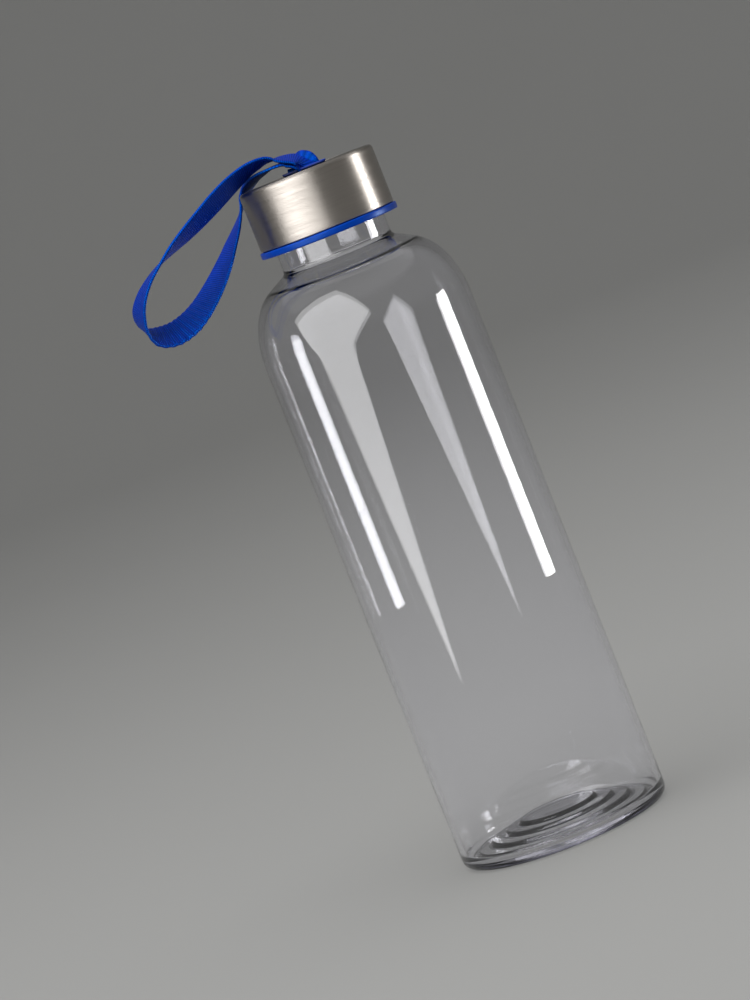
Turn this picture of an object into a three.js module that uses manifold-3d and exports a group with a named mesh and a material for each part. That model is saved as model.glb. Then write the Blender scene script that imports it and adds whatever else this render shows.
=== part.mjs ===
// Clear 0.5 litre drinking bottle with a steel-clad screw cap and a webbing carry loop.
// Millimetres, +Z up. The origin is the middle of the foot ring, on the bottle's own axis.
import * as THREE from 'three';
import { mergeVertices } from 'three/addons/utils/BufferGeometryUtils.js';
import Module from 'manifold-3d';

const wasm = await Module();
wasm.setup();

// ---------------------------------------------------------------- driving dimensions
const GAP = 0.3; // between faces that touch on the real bottle

// bottle: body, shoulder and base
const BODY_RADIUS = 33.0;
const BODY_WALL = 1.7;
const BODY_HEIGHT = 163.0; // foot to the start of the shoulder
const SHOULDER_CONE_RUN = 6.2; // sideways, from the neck out to where the shoulder rounds over
const SHOULDER_CROWN_RISE = 21.7; // above the start of the shoulder
const SHOULDER_SLOPE = THREE.MathUtils.degToRad(28);
const SHOULDER_FLANK_PULL = 11.0; // lengths of the shoulder curve's two handles
const SHOULDER_CROWN_PULL = 6.0;
const NECK_FILLET = 1.8;
const BASE_CORNER_RADIUS = 3.0;
const BASE_WALL = 2.4;
const FOOT_WIDTH = 1.8; // flat ring that the bottle stands on
const PUSH_UP_STEPS = 4; // rings in the pushed-up middle of the base
const PUSH_UP_STEP_RISE = 1.45;
const PUSH_UP_STEP_RUN = 5.1;
const PUSH_UP_FACE_RUN = 0.9; // sideways run of each step's steep face
const PUSH_UP_TREAD_FALL = 0.1;

// neck and screw thread
const NECK_RADIUS = 17.3; // root of the thread
const NECK_WALL = 2.3;
const NECK_TOP_ABOVE_BODY = 46.3; // mouth above the start of the shoulder
const LIP_ROUNDING = 0.6;
const THREAD_PITCH = 4.0;
const THREAD_TURNS = 1.5;
const THREAD_DEPTH = 1.3;
const THREAD_ROOT_WIDTH = 2.0;
const THREAD_CREST_WIDTH = 0.9;
const THREAD_CLEARANCE = 0.5; // radial, crest to root, on each side
const THREAD_FLANK_GAP = 0.35; // the flank that carries the load when tight
const THREAD_TOP_BELOW_MOUTH = 3.0;
const THREAD_BURY = 0.5; // ridge's root inside its wall
const THREAD_RUN_OUT = 0.06; // share of the ridge over which each end tapers
const THREAD_END_HEIGHT = 0.25; // share of its depth at the very end

// cap: moulded inner cap, steel shell, seal
const SEAL_THICKNESS = 1.8;
const SEAL_OVERHANG = 1.2; // seal past each side of the neck's rim
const CAP_PLATE = 2.5;
const CAP_SKIRT_WALL = 1.4;
const CAP_SKIRT_DEPTH = 17.3; // ceiling to the underside of the flange
const FLANGE_THICKNESS = 2.0;
const FLANGE_PROUD = 0.5; // flange past the steel
const CAP_CHAMFER = 0.4;
const PLUG_DEPTH = 3.2;
const PLUG_WALL = 1.4;
const SHELL_WALL = 0.5;
const SHELL_EDGE_RADIUS = 1.2;

// strap, its slot and its pin
const STRAP_WIDTH = 10.0;
const STRAP_THICKNESS = 1.0;
const STRAP_CLEARANCE = 0.35;
const BUSH_WALL = 0.55;
const BUSH_RIM = 0.7; // rim past the slot, all round
const BUSH_RIM_THICKNESS = 0.6;
const BUSH_LIP = 0.5;
const BUSH_LIP_THICKNESS = 0.8;
const PIN_RADIUS = 1.2;
const PIN_OVERHANG = 1.3; // pin past each edge of the strap
const PIN_DROP = 1.8; // bush down to the top of the pin
const POCKET_CLEARANCE = 0.7;
const POCKET_WALL = 1.4;

const ROUND = 48; // flats round a turned piece, and steps in one turn of the thread
const PIN_FLATS = 16;
const CORNER_STEPS = 5;
const BEND_STEPS = 40; // steps along each stretch of webbing
const ROOT_STEPS = 18;
const LOOP_STEPS = 80;
const CUT_PAST = 1.0; // how far a cutting prism runs past the face that it cuts

// ---------------------------------------------------------------- derived levels and radii
const MOUTH_Z = BODY_HEIGHT + NECK_TOP_ABOVE_BODY;
const SEAL_Z = MOUTH_Z + GAP;
const CEILING_Z = SEAL_Z + SEAL_THICKNESS + GAP;
const PLATE_TOP_Z = CEILING_Z + CAP_PLATE;
const SHELL_INSIDE_Z = PLATE_TOP_Z + GAP;
const CAP_TOP_Z = SHELL_INSIDE_Z + SHELL_WALL;
const FLANGE_BOTTOM_Z = CEILING_Z - CAP_SKIRT_DEPTH;
const FLANGE_TOP_Z = FLANGE_BOTTOM_Z + FLANGE_THICKNESS;

const BODY_BORE = BODY_RADIUS - BODY_WALL;
const FOOT_OUT = BODY_RADIUS - BASE_CORNER_RADIUS;
const FOOT_IN = FOOT_OUT - FOOT_WIDTH;
const PUSH_UP_TOP = PUSH_UP_STEPS * PUSH_UP_STEP_RISE;
const PUSH_UP_TOP_RADIUS = FOOT_IN - (PUSH_UP_STEPS - 1) * PUSH_UP_STEP_RUN;
const SHOULDER_CROWN_RADIUS = NECK_RADIUS + SHOULDER_CONE_RUN;

const NECK_BORE = NECK_RADIUS - NECK_WALL;
const THREAD_CREST = NECK_RADIUS + THREAD_DEPTH;
const SKIRT_BORE = THREAD_CREST + THREAD_CLEARANCE;
const SKIRT_RADIUS = SKIRT_BORE + CAP_SKIRT_WALL;
const SHELL_BORE = SKIRT_RADIUS + GAP;
const SHELL_RADIUS = SHELL_BORE + SHELL_WALL;
const FLANGE_RADIUS = SHELL_RADIUS + FLANGE_PROUD;
const SEAL_BORE = NECK_BORE - SEAL_OVERHANG;
const SEAL_RADIUS = NECK_RADIUS + SEAL_OVERHANG;
const PLUG_RADIUS = SEAL_BORE - GAP;

const HOLE_CORNER = STRAP_CLEARANCE;
const HOLE_LENGTH = STRAP_WIDTH + 2 * STRAP_CLEARANCE;
const HOLE_WIDTH = 2 * STRAP_THICKNESS + GAP + 2 * STRAP_CLEARANCE;
const STRAP_OFFSET = (STRAP_THICKNESS + GAP) / 2; // each layer's middle from the slot's middle
const BEND_RADIUS = PIN_RADIUS + GAP + STRAP_THICKNESS / 2; // strap's middle round the pin
const POCKET_EXTRA_LENGTH = 2 * (PIN_OVERHANG + POCKET_CLEARANCE - STRAP_CLEARANCE);
const POCKET_EXTRA_WIDTH = 2 * BEND_RADIUS + STRAP_THICKNESS + 2 * POCKET_CLEARANCE - HOLE_WIDTH;
const BUSH_LIP_BOTTOM_Z = SHELL_INSIDE_Z - GAP - BUSH_LIP_THICKNESS;
const PIN_Z = BUSH_LIP_BOTTOM_Z - PIN_DROP - PIN_RADIUS;
const POCKET_FLOOR_Z = PIN_Z - BEND_RADIUS - STRAP_THICKNESS / 2 - GAP;

// The webbing's routes outside the cap, measured from the middle of the cap's top face: place
// x, y, z, then the direction across the webbing. At the root both ends lie together, and turn
// over to the left. The loop starts at the fold from the upper layer, hangs beside the cap and
// comes back over the cap's far edge to the lower layer.
const ROOT_ROUTE = [
  [0.0, 0.0, 0.0, 1.0, 0.0, 0.0],
  [0.0, 0.0, 2.1, 1.0, 0.0, 0.0],
  [-0.5, -0.1, 4.0, 0.8, 0.5, 0.35],
  [-2.0, -0.1, 5.2, 0.45, 0.8, 0.4],
  [-4.2, 0.0, 5.6, 0.12, 0.97, 0.2],
  [-6.5, 0.0, 5.6, 0.0, 1.0, 0.0],
];
const LOOP_ROUTE = [
  [-6.8, 0.0, 6.25, 0.0, 1.0, 0.0],
  [-8.4, 0.0, 6.25, 0.0, 1.0, -0.1],
  [-11.4, -0.5, 6.1, 0.0, 0.92, -0.38],
  [-15.9, -1.2, 5.3, 0.12, 0.82, -0.56],
  [-21.6, -2.1, 3.3, 0.2, 0.84, -0.5],
  [-27.5, -2.9, 0.8, 0.22, 0.86, -0.46],
  [-33.5, -3.5, -2.0, 0.2, 0.88, -0.42],
  [-39.7, -4.0, -4.8, 0.16, 0.93, -0.34],
  [-45.5, -4.2, -7.5, 0.1, 0.98, -0.18],
  [-50.6, -4.2, -10.3, 0.0, 1.0, 0.0],
  [-55.2, -3.9, -13.5, -0.09, 0.99, 0.1],
  [-59.3, -3.4, -17.5, -0.24, 0.96, 0.14],
  [-62.0, -2.6, -22.0, -0.34, 0.93, 0.12],
  [-62.4, -1.4, -26.6, -0.2, 0.96, 0.2],
  [-59.8, 0.0, -30.2, 0.0, 0.84, 0.52],
  [-55.0, 1.6, -31.4, 0.0, 0.74, 0.66],
  [-49.8, 3.1, -30.4, -0.16, 0.72, 0.67],
  [-45.0, 4.6, -28.0, -0.26, 0.76, 0.58],
  [-40.6, 6.0, -24.8, -0.3, 0.8, 0.5],
  [-36.4, 7.4, -21.1, -0.3, 0.85, 0.42],
  [-32.4, 8.8, -17.0, -0.26, 0.9, 0.32],
  [-28.8, 10.2, -12.6, -0.2, 0.95, 0.2],
  [-25.6, 11.6, -8.2, -0.1, 0.99, 0.1],
  [-22.9, 12.7, -3.8, 0.04, 1.0, 0.02],
  [-20.6, 12.7, 0.3, 0.22, 0.97, -0.1],
  [-17.4, 9.9, 2.7, 0.4, 0.9, 0.0],
  [-14.2, 5.1, 4.0, 0.6, 0.8, 0.0],
  [-11.8, 2.2, 4.6, 0.5, 0.87, 0.0],
  [-9.9, 0.72, 4.85, 0.35, 0.94, 0.0],
  [-8.4, 0.14, 4.93, 0.2, 0.98, 0.0],
  [-7.6, 0.0, 4.95, 0.06, 1.0, 0.0],
  [-6.8, 0.0, 4.95, 0.0, 1.0, 0.0],
];

const CLEAR_PLASTIC = { color: 0xe8ebf2, roughness: 0.05, metalness: 0.0 };
const BLUE_PLASTIC = { color: 0x0a45c8, roughness: 0.4, metalness: 0.0 };
const STEEL = { color: 0xb9b2a8, roughness: 0.35, metalness: 1.0 };
const SILICONE = { color: 0xe9e9e6, roughness: 0.6, metalness: 0.0 };
const WEBBING = { color: 0x0530b0, roughness: 0.8, metalness: 0.0 };
const PIN_STEEL = { color: 0x9c9c9e, roughness: 0.3, metalness: 1.0 };

// ---------------------------------------------------------------- helpers
function solidOf(geometry) {
  const bare = geometry.index ? geometry.clone() : mergeVertices(geometry.clone());
  bare.deleteAttribute('normal');
  bare.deleteAttribute('uv');
  const merged = mergeVertices(bare, 1e-4);
  const index = merged.index.array;
  const triangles = [];
  for (let i = 0; i < index.length; i += 3) {
    const [a, b, c] = [index[i], index[i + 1], index[i + 2]];
    if (a !== b && b !== c && c !== a) triangles.push(a, b, c);
  }
  const mesh = new wasm.Mesh({
    numProp: 3,
    vertProperties: new Float32Array(merged.attributes.position.array),
    triVerts: new Uint32Array(triangles),
  });
  return new wasm.Manifold(mesh);
}

function piece(name, finish, solid) {
  const mesh = solid.getMesh();
  const geometry = new THREE.BufferGeometry();
  geometry.setAttribute('position', new THREE.BufferAttribute(mesh.vertProperties, 3));
  geometry.setIndex(new THREE.BufferAttribute(mesh.triVerts, 1));
  geometry.computeVertexNormals();
  const result = new THREE.Mesh(geometry, new THREE.MeshStandardMaterial(finish));
  result.name = name;
  return result;
}

// A profile of [radius, z] pairs turned about +Z.
function turned(profile, flats = ROUND) {
  const points = profile.map(([r, z]) => new THREE.Vector2(r, z));
  return solidOf(new THREE.LatheGeometry(points, flats).rotateX(Math.PI / 2));
}

// A closed ring profile, which does not touch the axis.
function turnedRing(profile, flats = ROUND) {
  return turned([...profile, profile[0]], flats);
}

function arc(centreR, centreZ, radius, fromDegrees, toDegrees, steps) {
  return Array.from({ length: steps + 1 }, (_, i) => {
    const angle = THREE.MathUtils.degToRad(fromDegrees + ((toDegrees - fromDegrees) * i) / steps);
    return [centreR + radius * Math.cos(angle), centreZ + radius * Math.sin(angle)];
  });
}

// An upright prism round the strap's hole, grown by margin all round.
function slotPrism(margin, bottomZ, topZ, extraLength = 0, extraWidth = 0) {
  const corner = HOLE_CORNER + margin;
  const x = (HOLE_LENGTH + extraLength) / 2 + margin - corner;
  const y = (HOLE_WIDTH + extraWidth) / 2 + margin - corner;
  const outline = new THREE.Shape();
  outline.absarc(x, -y, corner, -Math.PI / 2, 0, false);
  outline.absarc(x, y, corner, 0, Math.PI / 2, false);
  outline.absarc(-x, y, corner, Math.PI / 2, Math.PI, false);
  outline.absarc(-x, -y, corner, Math.PI, (3 * Math.PI) / 2, false);
  const options = { depth: topZ - bottomZ, bevelEnabled: false, curveSegments: CORNER_STEPS };
  return solidOf(new THREE.ExtrudeGeometry(outline, options).translate(0, 0, bottomZ));
}

// A square bar bent by place(along, across, up), with along 0..1, across and up -0.5..0.5.
function bentBar(steps, place) {
  const geometry = new THREE.BoxGeometry(1, 1, 1, steps, 1, 1);
  const position = geometry.attributes.position;
  for (let i = 0; i < position.count; i++) {
    const point = place(position.getX(i) + 0.5, position.getY(i), position.getZ(i));
    position.setXYZ(i, point.x, point.y, point.z);
  }
  return solidOf(geometry);
}

// ---------------------------------------------------------------- screw thread
// One ridge, standing out of the wall at wallRadius by depth (inwards when depth is negative).
function threadRidge(wallRadius, depth, topZ) {
  const out = Math.sign(depth);
  return bentBar(Math.round(THREAD_TURNS * ROUND), (along, across, up) => {
    const angle = along * THREAD_TURNS * 2 * Math.PI;
    const fromEnd = Math.min(along, 1 - along) / THREAD_RUN_OUT;
    const height = THREE.MathUtils.clamp(fromEnd, THREAD_END_HEIGHT, 1);
    const outer = up > 0;
    const radius = outer ? wallRadius + depth * height : wallRadius - out * THREAD_BURY;
    const crest = THREE.MathUtils.lerp(THREAD_ROOT_WIDTH, THREAD_CREST_WIDTH, height);
    const rise = topZ - (1 - along) * THREAD_TURNS * THREAD_PITCH - THREAD_ROOT_WIDTH / 2;
    const side = across * (outer ? crest : THREAD_ROOT_WIDTH) * out;
    return new THREE.Vector3(radius * Math.cos(angle), radius * Math.sin(angle), rise + side);
  });
}

const NECK_THREAD_TOP_Z = MOUTH_Z - THREAD_TOP_BELOW_MOUTH;
// Where the two ridges pass, each is narrower than at its root: their flanks stay this far apart.
const ROOT_TO_FLANK =
  (THREAD_CLEARANCE / THREAD_DEPTH) * (THREAD_ROOT_WIDTH - THREAD_CREST_WIDTH) * 0.5;
const RIDGE_SPACING =
  (THREAD_ROOT_WIDTH + THREAD_CREST_WIDTH) / 2 - ROOT_TO_FLANK + THREAD_FLANK_GAP;

// ---------------------------------------------------------------- bottle
// The shoulder and neck root from the body up, set back from the outside by flank at the body
// and by crown at the neck.
function shoulderProfile(flank, crown) {
  const crownZ = BODY_HEIGHT + SHOULDER_CROWN_RISE;
  const [slopeR, slopeZ] = [Math.cos(SHOULDER_SLOPE), Math.sin(SHOULDER_SLOPE)];
  const curve = new THREE.CubicBezierCurve(
    new THREE.Vector2(BODY_RADIUS, BODY_HEIGHT),
    new THREE.Vector2(BODY_RADIUS, BODY_HEIGHT + SHOULDER_FLANK_PULL),
    new THREE.Vector2(
      SHOULDER_CROWN_RADIUS + slopeR * SHOULDER_CROWN_PULL,
      crownZ - slopeZ * SHOULDER_CROWN_PULL,
    ),
    new THREE.Vector2(SHOULDER_CROWN_RADIUS, crownZ),
  );
  const steps = 8;
  const round = Array.from({ length: steps + 1 }, (_, i) => {
    const t = i / steps;
    const at = curve.getPoint(t);
    const along = curve.getTangent(t);
    const back = THREE.MathUtils.lerp(flank, crown, t);
    return [at.x - along.y * back, at.y + along.x * back];
  });
  const rootR = NECK_RADIUS + NECK_FILLET * (1 - slopeZ);
  const rootZ = crownZ + (SHOULDER_CROWN_RADIUS - rootR) * Math.tan(SHOULDER_SLOPE);
  const filletZ = rootZ + NECK_FILLET * slopeR;
  const slope = THREE.MathUtils.radToDeg(SHOULDER_SLOPE);
  const root = arc(NECK_RADIUS + NECK_FILLET, filletZ, NECK_FILLET + crown, 270 - slope, 180, CORNER_STEPS);
  return [...round, ...root];
}

// The pushed-up middle of the base, from the axis out to the foot, stepped in rings.
function pushUpProfile() {
  const profile = [[0, PUSH_UP_TOP]];
  for (let i = PUSH_UP_STEPS; i > 0; i--) {
    const edge = FOOT_IN - (i - 1) * PUSH_UP_STEP_RUN;
    profile.push([edge - PUSH_UP_FACE_RUN, i * PUSH_UP_STEP_RISE - PUSH_UP_TREAD_FALL]);
    profile.push([edge, (i - 1) * PUSH_UP_STEP_RISE]);
  }
  return profile;
}

function bottleBody() {
  const corner = BASE_CORNER_RADIUS;
  const outside = [
    ...pushUpProfile(),
    ...arc(FOOT_OUT, corner, corner, -90, 0, CORNER_STEPS),
    ...shoulderProfile(0, 0),
    [NECK_RADIUS, MOUTH_Z - LIP_ROUNDING],
    [NECK_RADIUS - LIP_ROUNDING, MOUTH_Z],
  ];
  const hollow = [
    [NECK_BORE + LIP_ROUNDING, MOUTH_Z],
    [NECK_BORE, MOUTH_Z - LIP_ROUNDING],
    ...shoulderProfile(BODY_WALL, NECK_WALL).reverse(),
    ...arc(BODY_BORE - corner, BASE_WALL + corner, corner, 0, -90, CORNER_STEPS),
    [PUSH_UP_TOP_RADIUS, PUSH_UP_TOP + BASE_WALL],
    [0, PUSH_UP_TOP + BASE_WALL],
  ];
  const shell = turned([...outside, ...hollow]);
  return shell.add(threadRidge(NECK_RADIUS, THREAD_DEPTH, NECK_THREAD_TOP_Z));
}

// ---------------------------------------------------------------- cap
function innerCap() {
  const body = turned([
    [0, CEILING_Z],
    [PLUG_RADIUS - PLUG_WALL, CEILING_Z],
    [PLUG_RADIUS - PLUG_WALL, CEILING_Z - PLUG_DEPTH],
    [PLUG_RADIUS, CEILING_Z - PLUG_DEPTH],
    [PLUG_RADIUS, CEILING_Z],
    [SKIRT_BORE, CEILING_Z],
    [SKIRT_BORE, FLANGE_BOTTOM_Z + CAP_CHAMFER],
    [SKIRT_BORE + CAP_CHAMFER, FLANGE_BOTTOM_Z],
    [FLANGE_RADIUS - CAP_CHAMFER, FLANGE_BOTTOM_Z],
    [FLANGE_RADIUS, FLANGE_BOTTOM_Z + CAP_CHAMFER],
    [FLANGE_RADIUS, FLANGE_TOP_Z - CAP_CHAMFER],
    [FLANGE_RADIUS - CAP_CHAMFER, FLANGE_TOP_Z],
    [SKIRT_RADIUS, FLANGE_TOP_Z],
    [SKIRT_RADIUS, PLATE_TOP_Z - CAP_CHAMFER],
    [SKIRT_RADIUS - CAP_CHAMFER, PLATE_TOP_Z],
    [0, PLATE_TOP_Z],
  ]);
  const pocketPrism = (margin, bottomZ, topZ) =>
    slotPrism(margin, bottomZ, topZ, POCKET_EXTRA_LENGTH, POCKET_EXTRA_WIDTH);
  const boss = pocketPrism(POCKET_WALL, POCKET_FLOOR_Z - POCKET_WALL, CEILING_Z + CAP_PLATE / 2);
  const pocket = pocketPrism(0, POCKET_FLOOR_Z, PLATE_TOP_Z + CUT_PAST);
  const ridge = threadRidge(SKIRT_BORE, -THREAD_DEPTH, NECK_THREAD_TOP_Z - RIDGE_SPACING);
  return body.add(boss).subtract(pocket).add(ridge);
}

function sealRing() {
  const [low, high] = [SEAL_Z, SEAL_Z + SEAL_THICKNESS];
  return turnedRing([
    [SEAL_BORE, low],
    [SEAL_RADIUS, low],
    [SEAL_RADIUS, high],
    [SEAL_BORE, high],
  ]);
}

function capShell() {
  const bottom = FLANGE_TOP_Z + GAP;
  const edgeR = SHELL_RADIUS - SHELL_EDGE_RADIUS;
  const edgeZ = CAP_TOP_Z - SHELL_EDGE_RADIUS;
  const cup = turned([
    [0, SHELL_INSIDE_Z],
    ...arc(edgeR, edgeZ, SHELL_EDGE_RADIUS - SHELL_WALL, 90, 0, CORNER_STEPS),
    [SHELL_BORE, bottom],
    [SHELL_RADIUS, bottom],
    ...arc(edgeR, edgeZ, SHELL_EDGE_RADIUS, 0, 90, CORNER_STEPS),
    [0, CAP_TOP_Z],
  ]);
  return cup.subtract(slotPrism(BUSH_WALL + GAP, SHELL_INSIDE_Z - CUT_PAST, CAP_TOP_Z + CUT_PAST));
}

function slotBush() {
  const rimBottom = CAP_TOP_Z + GAP;
  const rimTop = rimBottom + BUSH_RIM_THICKNESS;
  const lipTop = BUSH_LIP_BOTTOM_Z + BUSH_LIP_THICKNESS;
  const sleeve = slotPrism(BUSH_WALL, BUSH_LIP_BOTTOM_Z, rimTop);
  const topRim = slotPrism(BUSH_WALL + GAP + BUSH_RIM, rimBottom, rimTop);
  const snapLip = slotPrism(BUSH_WALL + GAP + BUSH_LIP, BUSH_LIP_BOTTOM_Z, lipTop);
  const hole = slotPrism(0, BUSH_LIP_BOTTOM_Z - CUT_PAST, rimTop + CUT_PAST);
  return sleeve.add(topRim).add(snapLip).subtract(hole);
}

function strapPin() {
  const length = STRAP_WIDTH + 2 * PIN_OVERHANG;
  const rod = new THREE.CylinderGeometry(PIN_RADIUS, PIN_RADIUS, length, PIN_FLATS);
  return solidOf(rod.rotateZ(Math.PI / 2).translate(0, 0, PIN_Z));
}

// ---------------------------------------------------------------- strap
// Webbing of the given thickness along the rows of a route.
function webbing(rows, thickness, steps) {
  const middle = new THREE.CatmullRomCurve3(
    rows.map(([x, y, z]) => new THREE.Vector3(x, y, z)),
    false,
    'catmullrom',
  );
  const acrossCurve = new THREE.CatmullRomCurve3(
    rows.map((row) => new THREE.Vector3(...row.slice(3))),
    false,
    'catmullrom',
  );
  return bentBar(steps, (along, across, up) => {
    const t = middle.getUtoTmapping(along);
    const tangent = middle.getTangent(t);
    const wide = acrossCurve.getPoint(t);
    wide.addScaledVector(tangent, -wide.dot(tangent)).normalize();
    const thick = new THREE.Vector3().crossVectors(tangent, wide);
    return middle
      .getPoint(t)
      .addScaledVector(wide, across * STRAP_WIDTH)
      .addScaledVector(thick, up * thickness);
  });
}

const aboveCap = ([x, y, z, ...across]) => [x, y, z + CAP_TOP_Z, ...across];

// The two sewn ends: round the pin, through the slot, then laid together up to the fold.
function strapRoot() {
  const side = (sign) =>
    [BUSH_LIP_BOTTOM_Z, CAP_TOP_Z, CAP_TOP_Z + 2 * GAP].map((z) => [
      0,
      sign * STRAP_OFFSET,
      z,
      1,
      0,
      0,
    ]);
  const bend = arc(0, PIN_Z, BEND_RADIUS, 180, 360, 6).map(([y, z]) => [0, y, z, 1, 0, 0]);
  const ends = webbing([...side(-1).reverse(), ...bend, ...side(1)], STRAP_THICKNESS, BEND_STEPS);
  const doubled = webbing(ROOT_ROUTE.map(aboveCap), 2 * STRAP_THICKNESS + GAP, ROOT_STEPS);
  return ends.add(doubled);
}

function strapLoop() {
  return webbing(LOOP_ROUTE.map(aboveCap), STRAP_THICKNESS, LOOP_STEPS);
}

// ---------------------------------------------------------------- assembly
const bottle = new THREE.Group();
bottle.add(
  piece('bottle_body', CLEAR_PLASTIC, bottleBody()),
  piece('seal_ring', SILICONE, sealRing()),
  piece('inner_cap', BLUE_PLASTIC, innerCap()),
  piece('cap_shell', STEEL, capShell()),
  piece('slot_bush', BLUE_PLASTIC, slotBush()),
  piece('strap_pin', PIN_STEEL, strapPin()),
  piece('strap_root', WEBBING, strapRoot()),
  piece('strap_loop', WEBBING, strapLoop()),
);

export default bottle;
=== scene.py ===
"""Clear drinking bottle with a steel-clad screw cap and a webbing carry loop."""

import math

import bmesh
import bpy
from mathutils import Matrix, Vector, noise


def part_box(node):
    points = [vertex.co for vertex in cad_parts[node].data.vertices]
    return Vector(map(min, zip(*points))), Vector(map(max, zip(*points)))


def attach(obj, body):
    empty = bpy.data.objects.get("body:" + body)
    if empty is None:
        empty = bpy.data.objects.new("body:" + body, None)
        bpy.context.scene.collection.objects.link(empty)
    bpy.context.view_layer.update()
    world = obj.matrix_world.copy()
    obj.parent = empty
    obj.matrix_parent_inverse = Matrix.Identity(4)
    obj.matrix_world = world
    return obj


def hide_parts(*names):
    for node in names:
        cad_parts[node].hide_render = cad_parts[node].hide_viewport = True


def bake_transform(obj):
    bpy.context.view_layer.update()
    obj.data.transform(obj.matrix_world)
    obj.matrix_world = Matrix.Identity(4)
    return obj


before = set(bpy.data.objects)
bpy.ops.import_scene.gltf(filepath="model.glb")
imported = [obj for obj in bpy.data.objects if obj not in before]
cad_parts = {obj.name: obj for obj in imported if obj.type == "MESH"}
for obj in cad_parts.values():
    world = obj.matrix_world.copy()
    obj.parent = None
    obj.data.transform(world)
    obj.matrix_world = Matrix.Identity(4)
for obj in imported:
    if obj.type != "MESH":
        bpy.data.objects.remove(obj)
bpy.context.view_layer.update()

bl_info = {
    "name": "Clear Bottle With Carry Loop",
    "version": (1, 0, 0),
    "blender": (4, 5, 0),
    "location": "View3D > Sidebar > Bottle",
    "description": "Builds a clear screw-cap drinking bottle, its cap and its webbing loop",
    "category": "Add Mesh",
}

MM = 0.001
TURN = 2 * math.pi

_, BOTTLE_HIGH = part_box("bottle_body")
CAP_LOW, CAP_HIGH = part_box("cap_shell")
INNER_LOW, INNER_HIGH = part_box("inner_cap")
SEAL_LOW, SEAL_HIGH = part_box("seal_ring")
BUSH_LOW, BUSH_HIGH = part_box("slot_bush")
PIN_LOW, PIN_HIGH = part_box("strap_pin")

ROUND = 192  # points round each turned piece
ON_AXIS = 1e-7  # a point nearer to the axis than this lies on it
THREAD_ROW = 0.22 * MM  # height of one row of faces on a thread
THREAD_FADE = 0.06  # share of the thread over which each end fades out


# ---------- sizes and colours
class BottleSizes(bpy.types.PropertyGroup):
    """Sizes of the clear body"""

    wall: bpy.props.FloatProperty(
        name="Wall", description="Thickness of the body's wall",
        default=1.7 * MM, min=0.0005, unit="LENGTH")
    neck_wall: bpy.props.FloatProperty(
        name="Neck wall", description="Thickness of the neck's wall",
        default=2.3 * MM, min=0.0005, unit="LENGTH")
    neck_radius: bpy.props.FloatProperty(
        name="Neck radius", description="Radius at the root of the screw thread",
        default=17.3 * MM, min=0.001, unit="LENGTH")
    body_height: bpy.props.FloatProperty(
        name="Body height", description="From the foot to the start of the shoulder",
        default=163 * MM, min=0.01, unit="LENGTH")
    cone_run: bpy.props.FloatProperty(
        name="Cone run", description="From the neck out to where the shoulder rounds over",
        default=6.2 * MM, min=0.0, unit="LENGTH")
    crown_rise: bpy.props.FloatProperty(
        name="Crown rise", description="From the start of the shoulder up to its cone",
        default=21.7 * MM, min=0.001, unit="LENGTH")
    slope: bpy.props.FloatProperty(
        name="Cone slope", description="Slope of the cone below the neck",
        default=math.radians(28), min=0.0, max=1.4, subtype="ANGLE")
    root_fillet: bpy.props.FloatProperty(
        name="Root fillet", description="Radius where the neck meets the shoulder, outside",
        default=1.8 * MM, min=0.0001, unit="LENGTH")
    inner_fillet: bpy.props.FloatProperty(
        name="Inner fillet", description="Radius where the neck meets the shoulder, inside",
        default=1.0 * MM, min=0.0001, unit="LENGTH")
    base_wall: bpy.props.FloatProperty(
        name="Base wall", description="Thickness of the base",
        default=2.4 * MM, min=0.0005, unit="LENGTH")
    base_corner: bpy.props.FloatProperty(
        name="Base corner", description="Radius of the corner round the base",
        default=3.0 * MM, min=0.0001, unit="LENGTH")
    foot_width: bpy.props.FloatProperty(
        name="Foot width", description="Width of the flat ring that the bottle stands on",
        default=1.8 * MM, min=0.0001, unit="LENGTH")
    ring_count: bpy.props.IntProperty(
        name="Rings", description="Rings in the pushed-up middle of the base",
        default=4, min=1, max=5)
    ring_rise: bpy.props.FloatProperty(
        name="Ring rise", description="Rise from one ring to the next",
        default=1.45 * MM, min=0.0, unit="LENGTH")
    ring_run: bpy.props.FloatProperty(
        name="Ring run", description="Distance from one ring to the next",
        default=5.1 * MM, min=0.001, unit="LENGTH")
    ring_face: bpy.props.FloatProperty(
        name="Ring face", description="Sideways run of each ring's steep face",
        default=0.9 * MM, min=0.0, unit="LENGTH")
    ring_fall: bpy.props.FloatProperty(
        name="Ring fall", description="Fall of each ring's tread towards its steep face",
        default=0.1 * MM, min=0.0, unit="LENGTH")
    ring_round: bpy.props.FloatProperty(
        name="Ring round", description="Rounding of the rings, outside",
        default=0.8 * MM, min=0.0001, unit="LENGTH")
    inner_ring_round: bpy.props.FloatProperty(
        name="Inner ring round", description="Rounding of the rings, inside",
        default=1.2 * MM, min=0.0001, unit="LENGTH")
    lip: bpy.props.FloatProperty(
        name="Lip", description="Radius of the mouth's two edges",
        default=0.6 * MM, min=0.0001, unit="LENGTH")


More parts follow.
